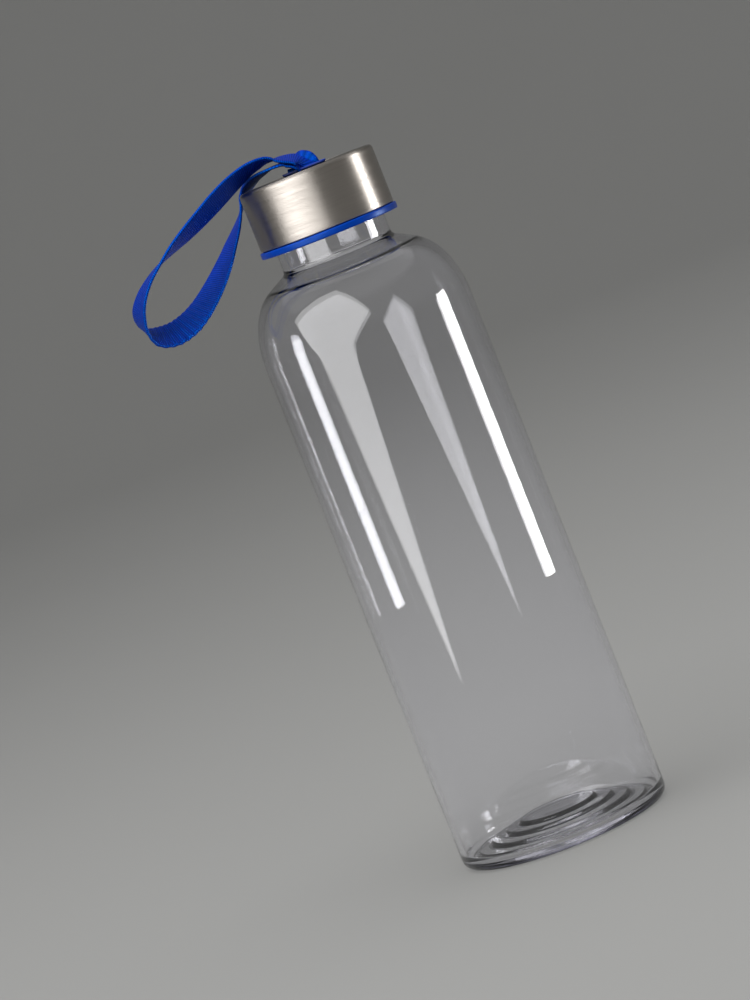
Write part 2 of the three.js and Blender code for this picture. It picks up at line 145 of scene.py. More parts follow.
class ThreadSizes(bpy.types.PropertyGroup):
    """Sizes of the screw thread"""

    pitch: bpy.props.FloatProperty(
        name="Pitch", description="Rise of the thread in one turn",
        default=4.0 * MM, min=0.0005, unit="LENGTH")
    turns: bpy.props.FloatProperty(
        name="Turns", description="Length of the thread in turns", default=1.5, min=0.1)
    depth: bpy.props.FloatProperty(
        name="Depth", description="Root to crest", default=1.3 * MM, min=0.0, unit="LENGTH")
    root_width: bpy.props.FloatProperty(
        name="Root width", description="Width of the ridge at the wall",
        default=2.0 * MM, min=0.0001, unit="LENGTH")
    crest_width: bpy.props.FloatProperty(
        name="Crest width", description="Width of the ridge at its top",
        default=0.9 * MM, min=0.0001, unit="LENGTH")
    below_mouth: bpy.props.FloatProperty(
        name="Below mouth", description="From the mouth down to the top of the ridge",
        default=3.0 * MM, min=0.0, unit="LENGTH")
    inner_drop: bpy.props.FloatProperty(
        name="Cap thread drop", description="How far the cap's ridge lies below the neck's",
        default=1.59 * MM, min=0.0, unit="LENGTH")


class CapSizes(bpy.types.PropertyGroup):
    """Sizes of the cap"""

    shell_wall: bpy.props.FloatProperty(
        name="Shell wall", description="Thickness of the steel",
        default=0.5 * MM, min=0.0001, unit="LENGTH")
    shell_edge: bpy.props.FloatProperty(
        name="Shell edge", description="Radius of the steel's top edge",
        default=1.2 * MM, min=0.0001, unit="LENGTH")
    skirt_wall: bpy.props.FloatProperty(
        name="Skirt wall", description="Thickness of the threaded skirt",
        default=1.4 * MM, min=0.0001, unit="LENGTH")
    flange: bpy.props.FloatProperty(
        name="Flange", description="Thickness of the blue flange under the steel",
        default=2.0 * MM, min=0.0001, unit="LENGTH")
    plate: bpy.props.FloatProperty(
        name="Plate", description="Thickness of the moulded cap's plate",
        default=2.5 * MM, min=0.0001, unit="LENGTH")
    plug_depth: bpy.props.FloatProperty(
        name="Plug depth", description="Depth of the ring that fits into the neck",
        default=3.2 * MM, min=0.0001, unit="LENGTH")
    plug_wall: bpy.props.FloatProperty(
        name="Plug wall", description="Thickness of the ring that fits into the neck",
        default=1.4 * MM, min=0.0001, unit="LENGTH")
    plug_set_in: bpy.props.FloatProperty(
        name="Plug set in", description="From the neck's bore, at the seal's size, in to the plug",
        default=2.7 * MM, min=0.0, unit="LENGTH")
    pocket_wall: bpy.props.FloatProperty(
        name="Pocket wall", description="Thickness of the strap's pocket",
        default=1.4 * MM, min=0.0001, unit="LENGTH")
    pocket_drop: bpy.props.FloatProperty(
        name="Pocket drop", description="From the pin down to the floor of the pocket",
        default=1.6 * MM, min=0.0, unit="LENGTH")
    bush_wall: bpy.props.FloatProperty(
        name="Bush wall", description="Thickness of the bush in the slot",
        default=0.55 * MM, min=0.0001, unit="LENGTH")
    gap: bpy.props.FloatProperty(
        name="Gap", description="Gap between faces that touch",
        default=0.3 * MM, min=0.0, unit="LENGTH")


class StrapSizes(bpy.types.PropertyGroup):
    """Sizes of the webbing"""

    width: bpy.props.FloatProperty(
        name="Width", description="Width of the webbing",
        default=10 * MM, min=0.001, unit="LENGTH")
    thickness: bpy.props.FloatProperty(
        name="Thickness", description="Thickness of the webbing",
        default=1.0 * MM, min=0.0001, unit="LENGTH")
    rib_pitch: bpy.props.FloatProperty(
        name="Rib pitch", description="Distance from one weft rib to the next",
        default=0.62 * MM, min=0.0001, unit="LENGTH")
    clearance: bpy.props.FloatProperty(
        name="Clearance", description="Gap between the webbing and its slot",
        default=0.35 * MM, min=0.0, unit="LENGTH")
    crease_depth: bpy.props.FloatProperty(
        name="Crease depth", description="Depth of the creases where the loop turns back",
        default=0.16 * MM, min=0.0, unit="LENGTH")
    crease_pitch: bpy.props.FloatProperty(
        name="Crease pitch", description="Distance from one crease to the next",
        default=2.1 * MM, min=0.0001, unit="LENGTH")


class Finishes(bpy.types.PropertyGroup):
    """Colours of the pieces"""

    clear: bpy.props.FloatVectorProperty(
        name="Clear plastic", description="Colour of the clear body",
        default=(0.992, 0.992, 1.0), size=3, min=0, max=1, subtype="COLOR")
    depth: bpy.props.FloatVectorProperty(
        name="Depth colour", description="Colour of the clear plastic where it is thick",
        default=(0.45, 0.42, 0.94), size=3, min=0, max=1, subtype="COLOR")
    depth_tint: bpy.props.FloatProperty(
        name="Depth tint", description="How fast the clear plastic takes up its depth colour",
        default=13.0, min=0.0)
    blue: bpy.props.FloatVectorProperty(
        name="Blue plastic", description="Colour of the moulded cap",
        default=(0.0, 0.085, 0.72), size=3, min=0, max=1, subtype="COLOR")
    webbing: bpy.props.FloatVectorProperty(
        name="Webbing", description="Colour of the webbing",
        default=(0.0, 0.020, 0.42), size=3, min=0, max=1, subtype="COLOR")
    steel: bpy.props.FloatVectorProperty(
        name="Steel", description="Colour of the brushed steel",
        default=(0.44, 0.405, 0.37), size=3, min=0, max=1, subtype="COLOR")
    seal: bpy.props.FloatVectorProperty(
        name="Seal", description="Colour of the silicone seal",
        default=(0.82, 0.82, 0.80), size=3, min=0, max=1, subtype="COLOR")
    floor: bpy.props.FloatVectorProperty(
        name="Floor", description="Colour of the floor and backdrop",
        default=(0.50, 0.50, 0.49), size=3, min=0, max=1, subtype="COLOR")


GROUPS = {
    "bottle_sizes": BottleSizes,
    "bottle_thread": ThreadSizes,
    "cap_sizes": CapSizes,
    "strap_sizes": StrapSizes,
    "bottle_finishes": Finishes,
}


# ---------- profiles
def arc(centre, radius, start, end, steps=10):
    """Points of an arc from start to end, in degrees, in the plane of radius and height."""
    turn = [math.radians(start + (end - start) * i / steps) for i in range(steps + 1)]
    return [(centre[0] + radius * math.cos(a), centre[1] + radius * math.sin(a)) for a in turn]


def rounded(points, radius, steps=5):
    """The same open profile with each of its corners rounded over by about radius."""
    result = [points[0]]
    for before, here, after in zip(points, points[1:], points[2:]):
        a, p, b = Vector(before), Vector(here), Vector(after)
        cut = min(radius, (a - p).length * 0.45, (b - p).length * 0.45)
        start, end = p + (a - p).normalized() * cut, p + (b - p).normalized() * cut
        for i in range(steps + 1):
            t = i / steps
            q = start * (1 - t) ** 2 + p * 2 * t * (1 - t) + end * t * t
            result.append((q.x, q.y))
    return result + [points[-1]]


def closely(points, longest):
    """The same profile with no stretch longer than longest."""
    result = [points[0]]
    for a, b in zip(points, points[1:]):
        count = max(1, math.ceil(math.dist(a, b) / longest))
        result += [(a[0] + (b[0] - a[0]) * i / count, a[1] + (b[1] - a[1]) * i / count)
                   for i in range(1, count + 1)]
    return result


def bezier(a, b, c, d, steps):
    """Points and directions of a cubic curve."""
    result = []
    for i in range(steps + 1):
        t = i / steps
        s = 1 - t
        point = a * s ** 3 + b * 3 * s * s * t + c * 3 * s * t * t + d * t ** 3
        along = (b - a) * s * s + (c - b) * 2 * s * t + (d - c) * t * t
        result.append((t, point, along.normalized()))
    return result


def shoulder(sizes, flank, crown, fillet):
    """The shoulder and the filleted root of the neck, set back by flank at the body and by crown
    at the neck."""
    body = BOTTLE_HIGH.x
    crown_r = sizes.neck_radius + sizes.cone_run
    crown_z = sizes.body_height + sizes.crown_rise
    slope = sizes.slope
    flank_pull, crown_pull = 11 * MM, 6 * MM  # lengths of the curve's two handles
    curve = bezier(
        Vector((body, sizes.body_height)),
        Vector((body, sizes.body_height + flank_pull)),
        Vector((crown_r + math.cos(slope) * crown_pull, crown_z - math.sin(slope) * crown_pull)),
        Vector((crown_r, crown_z)),
        steps=40)
    points = []
    for t, point, along in curve:
        back = flank + (crown - flank) * t
        points.append((point.x - along.y * back, point.y + along.x * back))
    centre_r = sizes.neck_radius - crown + fillet
    centre_z = (crown_z + (crown_r - centre_r) * math.tan(slope)
                + (fillet - crown) / math.cos(slope))
    return points + arc((centre_r, centre_z), fillet, 270 - math.degrees(slope), 180, 10)


def thread_height(thread, top, turn, z):
    """Height of the ridge, 0 to 1, at a share of a turn round the axis and a level."""
    best = 0.0
    total = thread.turns
    flank = (thread.root_width - thread.crest_width) / 2
    for whole in range(math.ceil(total)):
        along = turn + whole
        if along > total:
            break
        middle = top - (total - along) * thread.pitch - thread.root_width / 2
        side = (thread.root_width / 2 - abs(z - middle)) / flank
        end = min(along, total - along) / (THREAD_FADE * total)
        height = max(0.0, min(side, 1.0)) * min(end, 1.0)
        best = max(best, height * height * (3 - 2 * height))
    return best


# ---------- meshes
def ring(radius, z, bump=None):
    """A circle of points round the axis; bump(turn, z) adds to the radius."""
    points = []
    for i in range(ROUND):
        turn = i / ROUND
        r = radius + (bump(turn, z) if bump else 0.0)
        points.append(Vector((r * math.cos(turn * TURN), r * math.sin(turn * TURN), z)))
    return points


def slot_outline(strap, cap, margin, z, extra=(0.0, 0.0)):
    """The outline of the strap's slot grown by margin, at the same turns as ring. Extra is added
    to its length and width first."""
    half_x = strap.width / 2 + strap.clearance + extra[0] / 2
    half_y = strap.thickness + cap.gap / 2 + strap.clearance + extra[1] / 2
    corner = strap.clearance + margin
    flat_x, flat_y = half_x + margin - corner, half_y + margin - corner
    halvings = 40
    points = []
    for i in range(ROUND):
        c, s = math.cos(i / ROUND * TURN), math.sin(i / ROUND * TURN)
        low, high = 0.0, 2 * (half_x + margin)
        for _ in range(halvings):
            reach = (low + high) / 2
            x, y = abs(c) * reach, abs(s) * reach
            dx, dy = max(x - flat_x, 0.0), max(y - flat_y, 0.0)
            inside = dx * dx + dy * dy <= corner * corner
            low, high = (reach, high) if inside else (low, reach)
        points.append(Vector((c * low, s * low, z)))
    return points


def skin(name, rows, closed=False):
    """A closed mesh over rows of points. A row of one point closes an end."""
    bm = bmesh.new()
    made = [[bm.verts.new(p) for p in row] for row in rows]
    pairs = list(zip(made, made[1:])) + ([(made[-1], made[0])] if closed else [])
    for low, high in pairs:
        count = max(len(low), len(high))
        for i in range(count):
            j = (i + 1) % count
            corners = (low[i % len(low)], low[j % len(low)],
                       high[j % len(high)], high[i % len(high)])
            face = list(dict.fromkeys(corners))
            if len(face) > 2:
                bm.faces.new(face)
    bmesh.ops.recalc_face_normals(bm, faces=bm.faces)
    mesh = bpy.data.meshes.new(name)
    bm.to_mesh(mesh)
    bm.free()
    mesh.shade_smooth()
    piece = bpy.data.objects.new(name, mesh)
    bpy.context.collection.objects.link(piece)
    return piece


def turned_rows(profile, bump=None):
    """Rows of points for a profile of radius and height. A point on the axis is a row of one."""
    return [ring(r, z, bump) if r > ON_AXIS else [Vector((0, 0, z))] for r, z in profile]


def sharp_edges(piece, degrees):
    """Keeps crisp edges where the surface turns by more than degrees."""
    piece.data.set_sharp_from_angle(angle=math.radians(degrees))


def finish_piece(piece, material, body, slot, *stands_for):
    """Gives a piece its material and the body it rides on, if that is one body, and hides the
    solids that it stands for. The slot is not used."""
    piece.data.materials.append(material)
    if body:
        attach(piece, body)
    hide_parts(*stands_for)
    return piece


# ---------- materials
class Nodes:
    """Adds and links the nodes of one material."""

    def __init__(self, name, **numbers):
        self.material = bpy.data.materials.new(name)
        self.material.use_nodes = True
        self.tree = self.material.node_tree
        self.shader = self.tree.nodes["Principled BSDF"]
        for socket, value in numbers.items():
            self.shader.inputs[socket.replace("_", " ")].default_value = value

    def add(self, kind, links=(), **values):
        node = self.tree.nodes.new("ShaderNode" + kind)
        for key, value in values.items():
            if hasattr(node, key):
                setattr(node, key, value)
            else:
                node.inputs[key.replace("_", " ")].default_value = value
        for socket, source in dict(links).items():
            self.link(source, node.inputs[socket])
        return node

    def link(self, source, socket):
        self.tree.links.new(source, socket)

    def math(self, operation, a, b=0.0):
        node = self.add("Math", operation=operation)
        for socket, value in zip(node.inputs, (a, b)):
            if isinstance(value, (int, float)):
                socket.default_value = value
            else:
                self.link(value, socket)
        return node.outputs[0]

    def ramp(self, source, *stops):
        node = self.add("ValToRGB", {"Fac": source})
        elements = node.color_ramp.elements
        while len(elements) < len(stops):
            elements.new(0.5)
        for element, (place, colour) in zip(elements, stops):
            element.position = place
            element.color = (*colour, 1.0) if len(colour) == 3 else colour
        return node.outputs[0]

    def bump(self, height, strength, distance):
        node = self.add("Bump", {"Height": height}, Strength=strength, Distance=distance)
        self.link(node.outputs[0], self.shader.inputs["Normal"])


def rgba(colour, scale=1.0):
    return tuple(min(c * scale, 1.0) for c in colour)


def clear_plastic(finishes):
    """Clear moulding with a faint wave in its faces, bluer where it is thick."""
    made = Nodes("clear_plastic", Roughness=0.0, IOR=1.54, Transmission_Weight=1.0,
                 Base_Color=(*finishes.clear, 1.0))
    place = made.add("TexCoord").outputs["Object"]
    waves = made.add("TexNoise", {"Vector": place}, Scale=42.0, Detail=1.0, Roughness=0.4)
    made.bump(waves.outputs["Fac"], 0.05, 0.0006)
    tint = made.add("VolumeAbsorption", Color=(*finishes.depth, 1.0), Density=finishes.depth_tint)
    made.link(tint.outputs[0], made.tree.nodes["Material Output"].inputs["Volume"])
    return made.material


def blue_plastic(finishes):
    """Moulded plastic with a slight cloud and a fine grain."""
    made = Nodes("blue_plastic", IOR=1.49, Specular_IOR_Level=0.35,
                 Specular_Tint=(0.25, 0.5, 1.0, 1.0))
    place = made.add("TexCoord").outputs["Object"]
    cloud = made.add("TexNoise", {"Vector": place}, Scale=260.0, Detail=4.0).outputs["Fac"]
    colour = made.ramp(cloud, (0.3, rgba(finishes.blue, 0.88)), (0.7, rgba(finishes.blue, 1.12)))
    made.link(colour, made.shader.inputs["Base Color"])
    grain = made.add("TexNoise", {"Vector": place}, Scale=2600.0, Detail=3.0).outputs["Fac"]
    made.link(made.ramp(grain, (0.2, (0.26,) * 3), (0.8, (0.38,) * 3)),
              made.shader.inputs["Roughness"])
    made.bump(grain, 0.12, 0.00006)
    return made.material


def brushed_steel(finishes):
    """Steel with fine lines that run round the axis, on the skirt and the top alike. Its
    highlights stretch across the lines."""
    made = Nodes("cap_steel", Metallic=1.0, Anisotropic=0.9, Anisotropic_Rotation=0.25)
    place = made.add("TexCoord").outputs["Object"]
    parts = made.add("SeparateXYZ", {"Vector": place}).outputs
    turn = made.math("ARCTAN2", parts["Y"], parts["X"])
    radius = made.math("SQRT", made.math("ADD", made.math("MULTIPLY", parts["X"], parts["X"]),
                                         made.math("MULTIPLY", parts["Y"], parts["Y"])))
    level = made.math("SUBTRACT", parts["Z"], radius)

    def lines(per_radian, per_metre, **numbers):
        lay = made.add("CombineXYZ", {"X": made.math("MULTIPLY", turn, per_radian),
                                      "Y": made.math("MULTIPLY", level, per_metre)})
        return made.add("TexNoise", {"Vector": lay.outputs[0]}, Scale=1.0, **numbers).outputs["Fac"]

    streaks = lines(1.7, 5200.0, Detail=5.0, Roughness=0.72)
    bands = lines(0.8, 1500.0, Detail=3.0)
    both = made.math("ADD", made.math("MULTIPLY", streaks, 0.65),
                     made.math("MULTIPLY", bands, 0.35))
    colour = made.ramp(both, (0.30, rgba(finishes.steel, 0.80)), (0.55, rgba(finishes.steel)),
                       (0.75, rgba(finishes.steel, 1.18)))
    made.link(colour, made.shader.inputs["Base Color"])
    made.link(made.ramp(both, (0.40, (0.29,) * 3), (0.62, (0.60,) * 3)),
              made.shader.inputs["Roughness"])
    tangent = made.add("Tangent", direction_type="RADIAL", axis="Z")
    made.link(tangent.outputs[0], made.shader.inputs["Tangent"])
    made.bump(both, 0.30, 0.00004)
    return made.material


def silicone(finishes):
    """Milky silicone with a slight cloud."""
    made = Nodes("silicone", Roughness=0.55, Subsurface_Weight=0.3, Subsurface_Scale=0.002)
    place = made.add("TexCoord").outputs["Object"]
    cloud = made.add("TexNoise", {"Vector": place}, Scale=500.0, Detail=3.0).outputs["Fac"]
    colour = made.ramp(cloud, (0.3, rgba(finishes.seal, 0.92)), (0.7, rgba(finishes.seal, 1.04)))
    made.link(colour, made.shader.inputs["Base Color"])
    made.bump(cloud, 0.1, 0.0001)
    return made.material


def drawn_steel(finishes):
    """Steel with fine lines along the pin."""
    made = Nodes("pin_steel", Metallic=1.0)
    place = made.add("TexCoord").outputs["Object"]
    stretch = made.add("Mapping", {"Vector": place}, Scale=(60.0, 3000.0, 3000.0))
    lines = made.add("TexNoise", {"Vector": stretch.outputs[0]}, Scale=1.0,
                     Detail=3.0).outputs["Fac"]
    colour = made.ramp(lines, (0.3, rgba(finishes.steel, 0.8)), (0.7, rgba(finishes.steel, 1.1)))
    made.link(colour, made.shader.inputs["Base Color"])
    made.link(made.ramp(lines, (0.3, (0.22,) * 3), (0.7, (0.36,) * 3)),
              made.shader.inputs["Roughness"])
    made.bump(lines, 0.2, 0.00003)
    return made.material


def woven(finishes, strap):
    """Ribbed webbing. The map holds the place along and across the webbing, in millimetres."""
    made = Nodes("webbing", IOR=1.8, Specular_IOR_Level=0.8, Specular_Tint=(0.0, 0.28, 1.0, 1.0))
    shader = made.shader
    place = made.add("UVMap", uv_map="weave").outputs[0]
    parts = made.add("SeparateXYZ", {"Vector": place}).outputs
    warp_pitch = 0.34  # from one warp thread to the next, in millimetres

    def ridges(place_along, pitch):
        wave = made.math("SINE", made.math("MULTIPLY", place_along, math.pi / pitch))
        return made.math("ABSOLUTE", wave)

    rib = ridges(parts["X"], strap.rib_pitch / MM)
    warp = ridges(parts["Y"], warp_pitch)
    fibre_lay = made.add("Mapping", {"Vector": place}, Scale=(1.2, 16.0, 1.0)).outputs[0]
    fibres = made.add("TexNoise", {"Vector": fibre_lay}, Scale=1.0, Detail=4.0).outputs["Fac"]
    patch_lay = made.add("Mapping", {"Vector": place}, Scale=(0.22, 0.3, 1.0)).outputs[0]
    patches = made.add("TexNoise", {"Vector": patch_lay}, Scale=1.0, Detail=2.0).outputs["Fac"]
    relief = made.math("MULTIPLY", rib, made.math("ADD", made.math("MULTIPLY", warp, 0.5), 0.5))
    # The colour is darker in the furrows between the ribs and lighter on their crests, up to a lit
    # blue at the top of the ramp: painted shade and painted highlight. The fibres and the patches
    # add random tone.
    shade_and_tone = made.math("ADD", made.math("MULTIPLY", relief, 0.55),
                     made.math("ADD", made.math("MULTIPLY", fibres, 0.3),
                               made.math("MULTIPLY", patches, 0.25)))
    colour = made.ramp(shade_and_tone, (0.22, rgba(finishes.webbing, 0.42)), (0.55, rgba(finishes.webbing)),
                       (0.92, (0.0, 0.05, 0.80)))
    made.link(colour, shader.inputs["Base Color"])
    made.link(made.ramp(shade_and_tone, (0.2, (0.62,) * 3), (0.9, (0.40,) * 3)), shader.inputs["Roughness"])
    made.bump(made.math("ADD", relief, made.math("MULTIPLY", fibres, 0.35)), 0.6, 0.00012)
    return made.material


def studio_paper(finishes):
    """Plain matt paper."""
    made = Nodes("studio_paper", Roughness=0.9, Specular_IOR_Level=0.0)
    place = made.add("TexCoord").outputs["Object"]
    cloud = made.add("TexNoise", {"Vector": place}, Scale=1.5, Detail=2.0).outputs["Fac"]
    colour = made.ramp(cloud, (0.3, rgba(finishes.floor, 0.99)), (0.7, rgba(finishes.floor, 1.01)))
    made.link(colour, made.shader.inputs["Base Color"])
    return made.material


# ---------- operators
class BOTTLE_OT_body(bpy.types.Operator):
    """Make the clear body: shoulder, neck, screw thread and ringed base, one moulding"""

    bl_idname = "bottle.body"
    bl_label = "Clear body"

    longest = 6 * MM  # longest stretch of a plain wall

    def execute(self, context):
        scene = context.scene
        sizes, thread = scene.bottle_sizes, scene.bottle_thread
        base = self.base_rings(sizes)
        top = BOTTLE_HIGH.z - thread.below_mouth
        low = top - thread.turns * thread.pitch - 2 * thread.root_width

        def ridge(turn, z):
            return thread.depth * thread_height(thread, top, turn, z) if z > low else 0.0

        rows = turned_rows(self.fine_at_thread(self.outside(sizes, base), low), ridge)
        rows += turned_rows(closely(self.inside(sizes, base), self.longest))
        piece = skin("clear_body", rows)
        finish_piece(piece, clear_plastic(scene.bottle_finishes), "bottle", "clear_plastic",
                     "bottle_body")
        piece.visible_shadow = False
        return {"FINISHED"}

    def base_rings(self, sizes):
        """The pushed-up middle of the base, from the axis out to the foot."""
        foot_in = BOTTLE_HIGH.x - sizes.base_corner - sizes.foot_width
        rise, fall = sizes.ring_rise, sizes.ring_fall
        profile = [(0.0, sizes.ring_count * rise)]
        for i in range(sizes.ring_count, 0, -1):
            edge = foot_in - (i - 1) * sizes.ring_run
            profile += [(edge - sizes.ring_face, i * rise - fall), (edge, (i - 1) * rise)]
        return profile

    def outside(self, sizes, base):
        """The outside, from the middle of the base to the top of the mouth."""
        body, mouth = BOTTLE_HIGH.x, BOTTLE_HIGH.z
        corner, lip = sizes.base_corner, sizes.lip
        foot_out = body - corner
        short_of_corner = 0.3 * MM
        profile = rounded(base + [(foot_out - short_of_corner, 0.0)], sizes.ring_round)
        profile += arc((foot_out, corner), corner, -90, 0, 12)
        profile += shoulder(sizes, 0.0, 0.0, sizes.root_fillet)
        return profile + arc((sizes.neck_radius - lip, mouth - lip), lip, 0, 90, 5)

    def inside(self, sizes, base):
        """The inside, from the mouth to the middle of the base, which follows the rings."""
        bore, neck_bore = BOTTLE_HIGH.x - sizes.wall, sizes.neck_radius - sizes.neck_wall
        corner, lip, wall = sizes.base_corner, sizes.lip, sizes.base_wall
        profile = arc((neck_bore + lip, BOTTLE_HIGH.z - lip), lip, 90, 180, 5)
        profile += shoulder(sizes, sizes.wall, sizes.neck_wall, sizes.inner_fillet)[::-1]
        profile += arc((bore - corner, wall + corner), corner, 0, -90, 12)
        return profile + rounded([(r, z + wall) for r, z in base[::-1]], sizes.inner_ring_round)

    def fine_at_thread(self, profile, low):
        """The same profile with short stretches on the neck, where low is the thread's foot."""
        neck_reach, neck_share = 20 * MM, 0.6
        fine = profile[:1]
        for a, b in zip(profile, profile[1:]):
            high = max(a[1], b[1]) > low and min(a[1], b[1]) > low - neck_reach
            threaded = high and a[0] < BOTTLE_HIGH.x * neck_share
            fine += closely([a, b], THREAD_ROW if threaded else self.longest)[1:]
        return fine


class BOTTLE_OT_cap(bpy.types.Operator):
    """Make the moulded cap, the steel over it and the bush in its slot"""

    bl_idname = "bottle.cap"
    bl_label = "Cap"

    def execute(self, context):
        scene = context.scene
        self.steel(scene)
        self.moulded(scene)
        self.bush(scene)
        return {"FINISHED"}

    def steel(self, scene):
        cap, strap = scene.cap_sizes, scene.strap_sizes
        outer, bottom, top = CAP_HIGH.x, CAP_LOW.z, CAP_HIGH.z
        edge, hem = cap.shell_edge, cap.shell_wall / 2
        centre, inner_edge = (outer - edge, top - edge), edge - cap.shell_wall
        room_for_bush = cap.bush_wall + cap.gap

        def spread(z, radius, steps):
            """Rows from the slot's edge out to a circle."""
            slot, circle = slot_outline(strap, cap, room_for_bush, z), ring(radius, z)
            return [[a.lerp(b, i / steps) for a, b in zip(slot, circle)]
                    for i in range(steps + 1)]

        rows = spread(top, centre[0], 10)
        rows += turned_rows(arc(centre, edge, 90, 0, 10)[1:])
        rows += turned_rows(closely([(outer, centre[1]), (outer, bottom + hem)], 1.2 * MM)[1:])
        rows += turned_rows(arc((outer - hem, bottom + hem), hem, 0, -180, 8)[1:])
        rows += turned_rows(arc(centre, inner_edge, 0, 90, 6))
        rows += spread(top - cap.shell_wall, centre[0], 6)[::-1][1:]
        piece = skin("steel_cap", rows, closed=True)
        sharp_edges(piece, 50)
        finish_piece(piece, brushed_steel(scene.bottle_finishes), "cap", "cap_steel", "cap_shell")

    def moulded(self, scene):
        cap, strap, thread = scene.cap_sizes, scene.strap_sizes, scene.bottle_thread
        top, bottom, flange_r = INNER_HIGH.z, INNER_LOW.z, INNER_HIGH.x
        skirt_r = CAP_HIGH.x - cap.shell_wall - cap.gap
        bore, ceiling = skirt_r - cap.skirt_wall, top - cap.plate
        plug_r = SEAL_HIGH.x - scene.bottle_sizes.neck_wall - cap.plug_set_in
        plug_in, plug_low = plug_r - cap.plug_wall, ceiling - cap.plug_depth
        pocket = (3.3 * MM, 3.4 * MM)  # how much longer and wider the pocket is than the slot
        wall, floor = cap.pocket_wall, PIN_LOW.z - cap.pocket_drop
        round_pocket = 16 * MM  # radius of a circle that clears the pocket
        plain = 1 * MM  # plain wall below and above the thread
        thread_top = BOTTLE_HIGH.z - thread.below_mouth - thread.inner_drop

        def ridge(turn, z):
            return -thread.depth * thread_height(thread, thread_top, turn, z)

        outside = [(round_pocket, top), (skirt_r, top), (skirt_r, bottom + cap.flange),
                   (flange_r, bottom + cap.flange), (flange_r, bottom),
                   (bore, bottom), (bore, bottom + plain)]
        threaded = [(bore, bottom + plain), (bore, ceiling - plain)]
        plug = [(bore, ceiling - 0.9 * plain), (bore, ceiling), (plug_r, ceiling),
                (plug_r, plug_low), (plug_in, plug_low), (plug_in, ceiling),
                (plug_in - plain, ceiling)]
        rows = [[Vector((0, 0, floor))], slot_outline(strap, cap, 0.0, floor, pocket),
                slot_outline(strap, cap, 0.0, top, pocket)]
        rows += turned_rows(rounded(outside, 0.45 * MM))
        rows += turned_rows(closely(threaded, THREAD_ROW)[1:], ridge)
        rows += turned_rows(rounded(plug, 0.3 * MM))
        rows += [slot_outline(strap, cap, wall, ceiling, pocket),
                 slot_outline(strap, cap, wall, floor - wall, pocket),
                 [Vector((0, 0, floor - wall))]]
        piece = skin("moulded_cap", rows)
        sharp_edges(piece, 50)
        finish_piece(piece, blue_plastic(scene.bottle_finishes), "cap", "blue_plastic", "inner_cap")

    def bush(self, scene):
        cap, strap = scene.cap_sizes, scene.strap_sizes
        wall, low, high = cap.bush_wall, BUSH_LOW.z, BUSH_HIGH.z
        rim, rim_low = wall + 1.0 * MM, high - 0.6 * MM
        foot, foot_high = wall + 0.8 * MM, low + 0.8 * MM
        loop = [(wall, rim_low), (rim, rim_low), (rim, high), (0.0, high), (0.0, low),
                (foot, low), (foot, foot_high), (wall, foot_high), (wall, rim_low)]
        smooth = rounded(loop, 0.22 * MM, 4)[1:-1]
        rows = [slot_outline(strap, cap, margin, z) for margin, z in smooth]
        piece = skin("slot_bush_blue", rows, closed=True)
        sharp_edges(piece, 60)
        same_blue = bpy.data.materials["blue_plastic"]
        finish_piece(piece, same_blue, "cap", "blue_plastic", "slot_bush")


class BOTTLE_OT_inside(bpy.types.Operator):
    """Make the seal and the strap's pin, inside the cap"""

    bl_idname = "bottle.inside"
    bl_label = "Seal and pin"

    def execute(self, context):
        finishes = context.scene.bottle_finishes
        self.seal(finishes)
        self.pin(finishes)
        return {"FINISHED"}

    def seal(self, finishes):
        low, high, outer, width = SEAL_LOW.z, SEAL_HIGH.z, SEAL_HIGH.x, 4.7 * MM
        bore, middle = outer - width, (low + high) / 2
        loop = [(bore, middle), (bore, low), (outer, low), (outer, high), (bore, high),
                (bore, middle)]
        piece = skin("seal_flat", turned_rows(rounded(loop, 0.35 * MM, 4)[:-1]), closed=True)
        finish_piece(piece, silicone(finishes), "seal", "silicone", "seal_ring")

    def pin(self, finishes):
        radius, level = (PIN_HIGH.z - PIN_LOW.z) / 2, (PIN_HIGH.z + PIN_LOW.z) / 2
        end, chamfer, flats = PIN_HIGH.x, 0.3 * MM, 48
        rows = [[Vector((-end, 0, level))]]
        for x, r in ((-end, radius - chamfer), (-end + chamfer, radius), (0.0, radius),
                     (end - chamfer, radius), (end, radius - chamfer)):
            turns = [TURN * i / flats for i in range(flats)]
            rows.append([Vector((x, r * math.cos(a), level + r * math.sin(a))) for a in turns])
        rows.append([Vector((end, 0, level))])
        piece = skin("strap_pin_steel", rows)
        sharp_edges(piece, 30)
        finish_piece(piece, drawn_steel(finishes), "cap", "pin_steel", "strap_pin")


